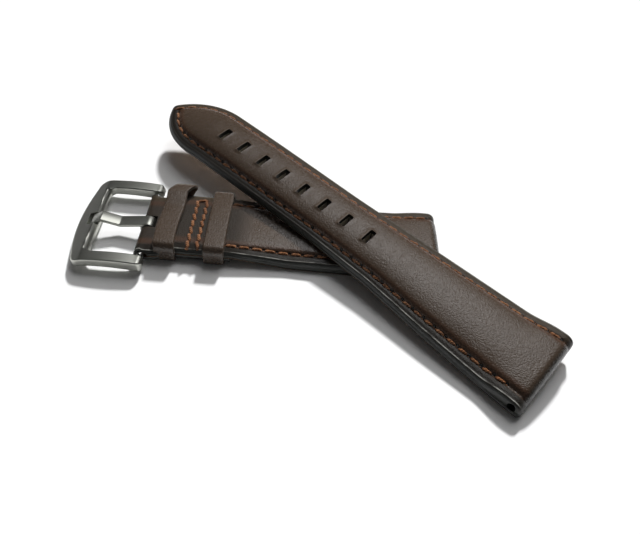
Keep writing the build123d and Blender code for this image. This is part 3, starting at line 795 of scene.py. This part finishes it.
def long_seam_place(run):
    """Where a stitch lies on the long half's seam, at a distance along it from the lug end."""
    flip = 1
    if run > long_path / 2:
        run = long_path - run
        flip = -1
    first = half_width(row_to_lug, long_taper_length) - stitch_inset
    last = half_buckle - stitch_inset
    if run < long_path_taper:
        share = run / long_path_taper
        spot = Vector((row_to_lug, first, 0)).lerp(Vector((long_taper_length, last, 0)), share)
        heading = Vector((long_taper_length - row_to_lug, last - first, 0)).normalized()
    elif run < long_path_taper + long_path_plain:
        spot = Vector((long_taper_length + run - long_path_taper, last, 0))
        heading = Vector((1, 0, 0))
    else:
        seam_radius = tip_radius - stitch_inset
        turn = (run - long_path_taper - long_path_plain) / seam_radius
        spot = Vector((tip_start, tip_centre_side, 0)) + seam_radius * Vector((sin(turn), cos(turn), 0))
        heading = Vector((cos(turn), -sin(turn), 0))
    return Vector((spot.x, spot.y * flip, 0)), Vector((heading.x * flip, heading.y, 0))


def stitch_seat(point, height_at, spot, heading, slant):
    """The frame of a stitch that follows its seam over the leather's own height."""
    reach = stitch_length / 2

    def lifted(at):
        return point(at.x, at.y, height_at(at.x, at.y) + stitch_rise)

    middle = lifted(spot)
    ahead = (lifted(spot + heading * reach) - lifted(spot - heading * reach)).normalized()
    aside = Vector((-heading.y, heading.x, 0))
    across = (lifted(spot + aside * reach * 0.1) - lifted(spot - aside * reach * 0.1)).normalized()
    up = ahead.cross(across).normalized()
    return place_of(middle, ahead, up.cross(ahead), up) @ Matrix.Rotation(slant, 4, "Z")


def seam_floor(heights_at):
    """The height at which a half's stitches lie, on the floor of its seams."""

    def seat_height(along, side):
        return heights_at(along)[1] - groove_depth - rounded_end(along, lug_roll_radius)

    return seat_height


thread = waxed_thread("waxed_thread")
long_places = []
for stitch_number in range(1, long_stitch_count):
    stitch_spot, stitch_heading = long_seam_place((stitch_number + 0.5) * long_pitch)
    long_places.append(
        stitch_seat(long_point, seam_floor(long_heights), stitch_spot, stitch_heading, stitch_slant))
piece("long_stitches", sewn(long_places), "long_half", "thread", (thread,), ["long_stitching"],
      thread_sharp)

# Top leather of the short half: padded from its lug end to beside the free keeper, then thin, and
# turned back under itself round the bar of the buckle, with a slit in the bend for the tongue.
short_lug_to_crossing = 24.4 * mm
short_padded_length = 38 * mm
short_taper_length = 45 * mm
short_rise_end = 51.5 * mm
short_heights_at_lug = Vector((3.2, 3.9, 4.7)) * mm
short_heights_padded = Vector((2.4, 3.0, 3.85)) * mm
short_heights_thin = Vector((3.5, 4.0, 4.05)) * mm
bar_from_lug = 72.7 * mm
bar_height = 2.5 * mm
fold_radius = 1.5 * mm
fold_leather = 0.9 * mm
fold_core_low = 1.9 * mm
fold_core_high = 3.1 * mm
bend_bore = 0.93 * mm
slit_half_width = 1.95 * mm
slit_back = 2.0 * mm
under_leg_length = 21 * mm
short_row_end = 56.4 * mm
groove_fade = 3 * mm
drift_start = 65.2 * mm
drift_length = 5 * mm
end_drift = 1.5 * mm
short_edge_swell = 0.1 * mm
short_half = half_place(Vector((short_lug_to_crossing, 0, 0)), Vector((-1, 0, 0)), Vector((0, 0, 1)))
bend_length = pi * fold_radius
bend_end = bar_from_lug + bend_length


def short_point(along, side, height):
    """A point of the short half in the shared frame; its buckle end lies a little to the near side."""
    drift = end_drift * eased(share_of(along, drift_start, drift_length))
    return short_half @ Vector((along, side + drift, height))


def short_heights(along):
    """Heights of the short half's top leather at its edge, its seam and its middle."""
    heights = knots(along, ((0, short_heights_at_lug), (short_padded_length, short_heights_padded),
                            (short_rise_end, short_heights_thin)))
    return turned_end(along, heights)


def short_top_height(along, side):
    """Height of the short half's top leather, whose groove and crease end with its side seams."""
    width = half_width(max(along, lug_corner_radius), short_taper_length)
    crown = max(1 - (side / (width - stitch_inset)) ** 2, 0.0)
    groove = 1 - share_of(along, short_row_end, groove_fade)
    height = skin_height(width - abs(side), crown, short_heights(along), groove)
    return height - rounded_end(along, lug_roll_radius)


def short_core_top(along):
    """Height of what the short half's top leather lies on: the lining, which climbs into the fold."""
    return knots(along, ((0, lining_thickness), (short_padded_length, lining_thickness),
                         (short_rise_end, fold_core_high)))


def half_beside(run):
    """Half the short half's width at a distance from its lug end, also past the bend."""
    return half_width(min(run, short_taper_length), short_taper_length)


def short_sheet_point(run, track, layer):
    """Shaper for the top leather of the short half, round the bend and back under it."""
    side = track * half_beside(run)
    if run <= bar_from_lug:
        along = run
        low = short_core_top(along)
        height = low + (short_top_height(along, side) - low) * layer
    elif run <= bar_from_lug + bend_length:
        turn = (run - bar_from_lug) / fold_radius
        radius = bend_bore + (fold_radius - bend_bore) * layer
        radius -= (bend_bore - (fold_radius - fold_leather)) * (1 - layer) * (1 - sin(turn))
        along = bar_from_lug + radius * sin(turn)
        height = bar_height + radius * cos(turn)
    else:
        along = bar_from_lug - (run - bar_from_lug - bend_length)
        height = fold_core_low + (bar_height - fold_radius - fold_core_low) * layer
    side += bulge(track, layer, short_edge_swell)
    distance = half_beside(max(run, lug_corner_radius)) - abs(side)
    seam = (run - row_to_lug) / short_pitch
    return short_point(along, side, height), (seam, distance / mm), (run / mm, side / mm)


def in_slit(run, track):
    """Whether a cell of the sheet lies in the slit for the tongue."""
    in_bend = bar_from_lug - slit_back < run < bend_end + slit_back
    return in_bend and abs(track) * half_buckle < slit_half_width


short_path = hypot(short_taper_length - row_to_lug,
                   half_width(row_to_lug, short_taper_length) - half_buckle)
short_path += short_row_end - short_taper_length
short_stitch_count = round(short_path / stitch_pitch)
short_pitch = short_path / short_stitch_count
short_runs = list(lug_runs)
for first_run, last_run, run_step in ((lug_runs_end, bar_from_lug - slit_back, 0.8 * mm),
                                      (bar_from_lug - slit_back, bar_from_lug, 0.55 * mm),
                                      (bar_from_lug, bend_end, 0.4 * mm),
                                      (bend_end, bend_end + slit_back, 0.7 * mm),
                                      (bend_end + slit_back, bend_end + under_leg_length, 1.5 * mm)):
    short_runs += spaced(first_run, last_run, run_step)
short_runs += [bend_end + under_leg_length]
slit_tracks = [side * mm / half_buckle for side in (5.0, 4.2, 3.4, 2.6, 1.95, 1.0)]
short_tracks = both_sides(margin_tracks + slit_tracks)
short_leather = top_hide("short_top_leather", short_stitch_count, dark_from=46.0)
short_top = sheet(short_runs, short_tracks, in_slit, short_sheet_point)
short_top_piece = piece("short_top_leather_piece", short_top, "short_half", "top_leather",
                        (short_leather, edge_paint, lining_leather), ["short_top_leather"])
bored(short_top_piece, short_half @ channel_place, channel_radius, bore_length, edge_paint)

# Lining of the short half: brown leather glued flat under the filler; past it, the lining climbs in
# between the legs of the fold and ends short of the bar, with a slit for the tongue.
lining_end = bar_from_lug - 1.6 * mm


def short_lining_point(run, track, layer):
    """Shaper for the lining of the short half."""
    side = track * half_beside(run)
    low = knots(run, ((0, 0), (short_padded_length, 0), (short_rise_end, fold_core_low)))
    distance = half_beside(run) - abs(side)
    low += rounded_end(distance, lining_edge_radius) + rounded_end(run, lining_edge_radius)
    height = low + (short_core_top(run) - low) * layer
    side += bulge(track, layer, short_edge_swell)
    return short_point(run, side, height), (run / short_pitch, distance / mm), (run / mm, side / mm)


def in_lining_slit(run, track):
    """Whether a cell of the lining lies in the slit for the tongue."""
    return abs(track) * half_buckle < slit_half_width and run > bar_from_lug - slit_back


lining_runs = [run for run in short_runs if run < lining_end - 0.2 * mm] + [lining_end]
short_lining = sheet(lining_runs, short_tracks, in_lining_slit, short_lining_point)
piece("short_lining_piece", short_lining, "short_half", "lining_leather",
      (edge_paint, edge_paint, lining_leather), ["short_lining"])

# Side seams of the short half: the same waxed thread and stitch, in one straight row along each side
# from the lug end to just past the free keeper.
for short_sign, short_name in ((1, "near"), (-1, "far")):
    short_places = []
    for stitch_number in range(short_stitch_count):
        stitch_along = row_to_lug + (stitch_number + 0.5) * short_pitch
        stitch_side = half_beside(stitch_along) - stitch_inset
        slope = (half_buckle - half_lug) / short_taper_length if stitch_along < short_taper_length else 0
        stitch_heading = Vector((1, slope * short_sign, 0)).normalized() * short_sign
        stitch_spot = Vector((stitch_along, stitch_side * short_sign, 0))
        short_places.append(
            stitch_seat(short_point, seam_floor(short_heights), stitch_spot, stitch_heading, stitch_slant))
    piece(f"short_stitches_{short_name}", sewn(short_places), "short_half", "thread", (thread,),
          [f"short_stitching_{short_name}"], thread_sharp)

# Box seam: two close rows of shorter, fatter stitches across the strap, joined at their ends, that
# hold the fold shut behind the fixed keeper.
box_row_from_bar = 11.95 * mm
box_row_spacing = 2.3 * mm
box_row_length = 15.6 * mm
box_row_side = 0.5 * mm
box_pitch = 2.45 * mm
box_seat = 4.0 * mm
box_stretch = Matrix.Diagonal((0.98, 1.12, 1.0, 1))
box_places = []
box_loop = 2 * (box_row_length + box_row_spacing)
box_count = round(box_loop / box_pitch)
near_fold = bar_from_lug - box_row_from_bar - box_row_spacing / 2
near_bar = near_fold + box_row_spacing


def box_seat_height(along, side):
    """Height of the flat leather over the fold."""
    return box_seat


for stitch_number in range(box_count):
    run = (stitch_number + 0.5) / box_count * box_loop
    if run < box_row_length:
        box_spot, box_heading = Vector((near_fold, run - box_row_length / 2, 0)), Vector((0, 1, 0))
    elif run < box_row_length + box_row_spacing:
        box_spot = Vector((near_fold + run - box_row_length, box_row_length / 2, 0))
        box_heading = Vector((1, 0, 0))
    elif run < 2 * box_row_length + box_row_spacing:
        back = run - box_row_length - box_row_spacing
        box_spot, box_heading = Vector((near_bar, box_row_length / 2 - back, 0)), Vector((0, -1, 0))
    else:
        back = run - 2 * box_row_length - box_row_spacing
        box_spot, box_heading = Vector((near_bar - back, -box_row_length / 2, 0)), Vector((-1, 0, 0))
    box_spot.y += box_row_side
    box_place = stitch_seat(short_point, box_seat_height, box_spot, box_heading, 2 * stitch_slant)
    box_places.append(box_place @ box_stretch)
piece("box_stitches", sewn(box_places), "short_half", "thread", (thread,), ["box_stitching"], thread_sharp)

# Keepers: two loops of the same hide round the short half. The fixed one is caught by the fold and
# stands off and leans at its far corner; the free one is a little crowned, and slides.
keeper_width = 5 * mm
keeper_leather = 0.8 * mm
keeper_half = half_buckle + 0.25 * mm + keeper_leather
keeper_top_radius = 1.8 * mm
keeper_low_radius = 1.2 * mm
fixed_keeper_along = bar_from_lug - 5.4 * mm
free_keeper_along = fixed_keeper_along - 11.8 * mm
keeper_edge_radius = 0.3 * mm
keeper_dome = 0.05 * mm
free_crown = 0.3 * mm
lift_from = 3.5 * mm
lift_over = 4.5 * mm
lift_height = 0.64 * mm
flare_from = 7.8 * mm
flare_over = 3.2 * mm
flare_lean = 2.2 * mm
flare_in = 0.95 * mm
flare_low = 0.15
flare_rise = 0.6
wave_height = 0.2 * mm
wave_length = 3.2 * mm


def loop_point(share, half, low, high, top_radius, low_radius):
    """Point and outward direction at a share of the way round a rounded loop, from under its middle."""
    corners = ((half, low, low_radius, -pi / 2), (half, high, top_radius, 0),
               (-half, high, top_radius, pi / 2), (-half, low, low_radius, pi))
    spots = [((0, low), (0, -1))]
    for side, height, radius, start in corners:
        centre = (side - radius * (1 if side > 0 else -1), height - radius * (1 if height == high else -1))
        for step in range(7):
            turn = start + pi / 2 * step / 6
            way = (cos(turn), sin(turn))
            spots.append(((centre[0] + radius * way[0], centre[1] + radius * way[1]), way))
    spots.append(spots[0])
    lengths = [hypot(b[0][0] - a[0][0], b[0][1] - a[0][1]) for a, b in zip(spots, spots[1:])]
    left = share * sum(lengths)
    for length, first, second in zip(lengths, spots, spots[1:]):
        if left <= length:
            t = left / length if length else 0
            spot = [first[0][i] + (second[0][i] - first[0][i]) * t for i in (0, 1)]
            way = Vector([first[1][i] + (second[1][i] - first[1][i]) * t for i in (0, 1)]).normalized()
            return spot, way
        left -= length
    return spots[0]


def keeper_point(along, low, high, caught):
    """Shaper for a keeper: a band round the strap, which leans and stands off as far as it is caught."""

    def shaped(run, track, layer):
        spot, way = loop_point(run % 1, keeper_half, low, high, keeper_top_radius, keeper_low_radius)
        edge = (1 - abs(track)) * keeper_width / 2
        inward = keeper_leather * (1 - layer)
        inward += (rounded_end(edge, keeper_edge_radius) - keeper_dome * (1 - track ** 2)) * layer
        rise = (spot[1] - low) / (high - low)
        lift = share_of(-spot[0], lift_from, lift_over) * caught
        far = eased(share_of(-spot[0], flare_from, flare_over)) * caught
        at = along + track * keeper_width / 2 - caught * (1 - rise) * wave_height
        at -= far * share_of(rise, flare_low, flare_rise) * flare_lean
        at += caught * wave_height * rise * sin(spot[0] / wave_length)
        side = spot[0] - way[0] * inward - far * share_of(rise, 0, flare_low) * flare_in
        crown = (1 - caught) * free_crown * (1 - (spot[0] / keeper_half) ** 2) ** 2
        height = spot[1] - way[1] * inward + (lift * lift_height + crown) * rise
        return short_half @ Vector((at, side, height)), (run * 20, 5.0), (run * 60, track * 2.5)

    return shaped


def uncut(run, track):
    """A sheet without openings drops no cell."""
    return False


keeper_runs = [number / 120 for number in range(121)]
keeper_tracks = both_sides([1, 0.97, 0.93, 0.88, 0.8, 0.65, 0.45, 0.22])
keeper_hide = top_hide("keeper_leather", 0)
# The keepers' cut edges are painted paler: partly their own wear, partly a painted highlight where the edge
# catches the light.
keeper_edge = painted_edge("keeper_edge", (0.06, 0.05, 0.042), (0.19, 0.165, 0.14))
for keeper_name, keeper_along, keeper_low, keeper_high, keeper_caught, keeper_body in (
        ("fixed_keeper", fixed_keeper_along, 0.15 * mm, 5.7 * mm, 1.0, "short_half"),
        ("free_keeper", free_keeper_along, 0.1 * mm, 5.42 * mm, 0.0, "free_keeper")):
    keeper = sheet(keeper_runs, keeper_tracks, uncut,
                   keeper_point(keeper_along, keeper_low, keeper_high, keeper_caught))
    piece(f"{keeper_name}_piece", keeper, keeper_body, "top_leather",
          (keeper_hide, keeper_edge, lining_leather), [keeper_name])

# Filler and tape: pale felt board that pads each half and a woven tape that keeps it from
# stretching, both glued between the top leather and the lining, out of sight.
felt_finish = Finish("felt")
felt_at = felt_finish.place()
felt_fibre = felt_finish.noise(felt_at, 900.0, 4.0)
felt = felt_finish.surface(
    Base_Color=felt_finish.mix(felt_fibre, (0.45, 0.41, 0.34), (0.60, 0.55, 0.47)),
    Roughness=0.95, Normal=felt_finish.bump(felt_finish.noise(felt_at, 1800.0, 4.0), 0.0001))
tape_finish = Finish("tape")
tape_at = tape_finish.place()
tape_weave = tape_finish.node("ShaderNodeTexChecker", {}, {"Vector": tape_at, "Scale": 2200.0}, "Fac")
tape = tape_finish.surface(Base_Color=tape_finish.mix(tape_weave, (0.70, 0.70, 0.68), (0.82, 0.82, 0.80)),
                           Roughness=0.9, Normal=tape_finish.bump(tape_weave, 0.00003))


def from_solid(node):
    """The mesh of a node of the solids as a bmesh, with its doubled corners joined."""
    bm = bmesh.new()
    bm.from_mesh(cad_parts[node].data)
    bmesh.ops.remove_doubles(bm, verts=bm.verts, dist=weld)
    return bm


for half_name, filling_kind, filling_finish in (("long", "padding", felt), ("short", "padding", felt),
                                                ("long", "tape", tape), ("short", "tape", tape)):
    filling_name = f"{half_name}_{filling_kind}"
    filling = from_solid(filling_name)
    if half_name == "long":
        for vertex in filling.verts:
            vertex.co = long_point(*(long_half.inverted() @ vertex.co))
    filling_piece = piece(f"{filling_name}_piece", filling, f"{half_name}_half", filling_kind,
                          (filling_finish,), [filling_name], 30)

# Buckle: satin stainless steel. The frame is one cast loop, arched in side view, whose arms end round
# the spring bar and whose end bar has a sharp ridge, a wide outer slope and a notch for the tongue.
ridge_along = 85.4 * mm
ridge_top = 5.5 * mm
window_along = 84.5 * mm
rim_along = 90.1 * mm
rim_bow = 2.6 * mm
rim_slope = 0.32
arm_inner_half = 11.2 * mm
arm_outer_half = 14.3 * mm
arm_end_radius = 1.4 * mm
arm_bow = 0.35 * mm
arm_corner_radius = 1.3 * mm
rim_corner_radius = 2.4 * mm
window_corner_radius = 1.4 * mm
frame_edge = 0.4 * mm
frame_edge_start = 0.8 * mm
rim_chamfer = 0.9 * mm
rim_chamfer_slope = 0.9
rim_chamfer_inset = 0.5 * mm
notch_half = 1.9 * mm
notch_start = 83.6 * mm
notch_end = 87.1 * mm
notch_depth = 0.45 * mm
notch_slope = 0.45
low_rise = 2.15 * mm
low_slope = 0.15
pin_hole_reach = 12.1 * mm
pin_hole_radius = 0.45 * mm
frame_hang = radians(7.6)
bar_place = Matrix.Translation((bar_from_lug, 0, bar_height))
hang = (Matrix.Translation((0, end_drift, 0)) @ bar_place @ Matrix.Rotation(frame_hang, 4, "Y")
        @ bar_place.inverted())


def rim_at(side):
    """How far out the bowed rim of the end bar lies."""
    return rim_along - rim_bow * (side / arm_outer_half) ** 2


def frame_sides():
    """Inner and outer edge of the frame in plan, in stations from the near arm round to the far one."""
    stations = []
    arm_start = bar_from_lug - arm_end_radius
    bend = rim_at(arm_outer_half - rim_corner_radius) - rim_corner_radius
    inner_bend = window_along - window_corner_radius
    inner_middle = arm_inner_half - window_corner_radius
    outer_middle = arm_outer_half - rim_corner_radius
    for share in [(number / 26) ** 1.8 for number in range(26)]:
        reach = share * (bend - arm_start)
        curl = rounded_end(reach, arm_corner_radius)
        stations.append(((arm_start + (inner_bend - arm_start) * share, arm_inner_half + curl),
                         (arm_start + reach, arm_outer_half - curl)))
    for step in range(9):
        out, aside = sin(pi / 2 * step / 8), cos(pi / 2 * step / 8)
        inner = (inner_bend + window_corner_radius * out, inner_middle + window_corner_radius * aside)
        outer = (bend + rim_corner_radius * out, outer_middle + rim_corner_radius * aside)
        stations.append((inner, outer))
    spread = outer_middle / inner_middle - 1
    for side in (8.6, 7.2, 5.8, 4.4, 3.2, 2.4, 1.95, 1.88, 1.2, 0.6):
        outer_side = side * mm * (1 + spread * min(side * mm / inner_middle, 1) ** 2)
        stations.append(((window_along, side * mm), (rim_at(outer_side), outer_side)))
    far = [((inner[0], -inner[1]), (outer[0], -outer[1])) for inner, outer in stations[::-1]]
    return stations + [((window_along, 0), (rim_along, 0))] + far


def frame_heights(along, side):
    """Heights of the frame's underside and top: arched arms, the ridge, the slope outside it, the notch."""
    back = bar_from_lug - along
    if back > 0:
        round_half = sqrt(max(arm_end_radius ** 2 - back ** 2, 0))
        return bar_height - round_half, bar_height + round_half
    share = min((along - bar_from_lug) / (ridge_along - bar_from_lug), 1)
    bow = 4 * arm_bow * share * (1 - share)
    past = max(along - ridge_along, 0)
    low = bar_height - arm_end_radius + low_rise * share + bow - past * low_slope
    arch = bar_height + arm_end_radius
    top = arch + (ridge_top - arch) * share + bow - past * rim_slope
    if abs(side) < arm_inner_half - rim_chamfer_inset:
        top -= min(max(ridge_along - along, 0), rim_chamfer) * rim_chamfer_slope
    if abs(side) < notch_half and along < notch_end:
        top = min(top, ridge_top - notch_depth - max(along - notch_start, 0) * notch_slope)
    return low, top


def frame_point(run, track, layer):
    """Shaper for the frame between its inner and outer edge, from its underside to its top."""
    inner, outer = frame_stations[round(run)]
    share = (track + 1) / 2
    along = inner[0] + (outer[0] - inner[0]) * share
    side = inner[1] + (outer[1] - inner[1]) * share
    width = hypot(outer[0] - inner[0], outer[1] - inner[1])
    edge = (1 - abs(track)) * width / 2
    start = share_of(along, bar_from_lug - arm_end_radius, frame_edge_start)
    fall = rounded_end(edge, frame_edge) * start
    low, top = frame_heights(along, side)
    height = low + fall + (top - low - 2 * fall) * layer
    hung = hang @ Vector((along, side, height))
    return short_half @ hung, (run, edge / mm), (along / mm, side / mm)


def satin_steel(name, colour, rough):
    """Stainless steel, brushed to a satin with fine scratches along the strap."""
    finish = Finish(name)
    at = finish.place()
    brushed = finish.noise(finish.place((1, 12, 12)), 420.0, 3.0)
    cloud = finish.noise(at, 120.0, 2.0)
    tone = finish.mix(cloud, colour, [c * 1.12 for c in colour])
    return finish.surface(Base_Color=tone, Metallic=1.0, Roughness=rough + (brushed - 0.5) * 0.04,
                          Normal=finish.bump(finish.noise(at, 3000.0, 2.0), 0.000003))


buckle_steel = satin_steel("buckle_steel", (0.47, 0.475, 0.435), 0.37)
frame_stations = frame_sides()
frame_tracks = [-1, -0.985, -0.95, -0.9, -0.84, -0.76, -0.68, -0.6, -0.45, -0.25, 0,
                0.25, 0.45, 0.6, 0.75, 0.84, 0.9, 0.95, 0.985, 1]
frame_loop = sheet(range(len(frame_stations)), frame_tracks, uncut, frame_point)
frame_piece = piece("buckle_frame_piece", frame_loop, "buckle_frame", "buckle_steel",
                    (buckle_steel, buckle_steel, buckle_steel), ["buckle_frame"], 32)
bored(frame_piece, short_half @ Matrix.Translation((bar_from_lug, end_drift / 2, bar_height)),
      pin_hole_radius, 2 * pin_hole_reach + end_drift, buckle_steel)

# Tongue: a bent strip of the same steel, rolled round the spring bar in the slit of the fold, with
# its edges eased by tumbling; it hangs with the frame.
tongue_ease = 0.22 * mm
tongue_bend = radians(14)
tongue = from_solid("buckle_tongue")
bmesh.ops.dissolve_limit(tongue, angle_limit=radians(1.5), verts=tongue.verts, edges=tongue.edges)
bmesh.ops.transform(tongue, matrix=short_half @ hang @ short_half.inverted(), verts=tongue.verts)
tongue_corners = [edge for edge in tongue.edges
                  if len(edge.link_faces) == 2 and edge.calc_face_angle() > tongue_bend]
bmesh.ops.bevel(tongue, geom=tongue_corners, offset=tongue_ease, affect="EDGES", segments=3, profile=0.5,
                material=-1, clamp_overlap=True)
for face in tongue.faces:
    face.smooth = True
piece("buckle_tongue_piece", tongue, "buckle_tongue", "buckle_steel", (buckle_steel,), ["buckle_tongue"],
      40)

# Spring bar: a turned steel tube with a coil spring and a sprung pin at each end, pushed through the
# fold and into the arms; it lies to the near side with them.
bar_steel = satin_steel("bar_steel", (0.62, 0.62, 0.60), 0.3)
for bar_part, bar_body in (("bar_barrel", "short_half"), ("bar_pin_near", "bar_pin_near"),
                           ("bar_pin_far", "bar_pin_far"), ("bar_spring", "short_half")):
    bar_mesh = from_solid(bar_part)
    bmesh.ops.translate(bar_mesh, verts=bar_mesh.verts, vec=(0, -end_drift, 0))
    for face in bar_mesh.faces:
        face.smooth = True
    piece(f"{bar_part}_piece", bar_mesh, bar_body, "bar_steel", (bar_steel,), [bar_part], 30)
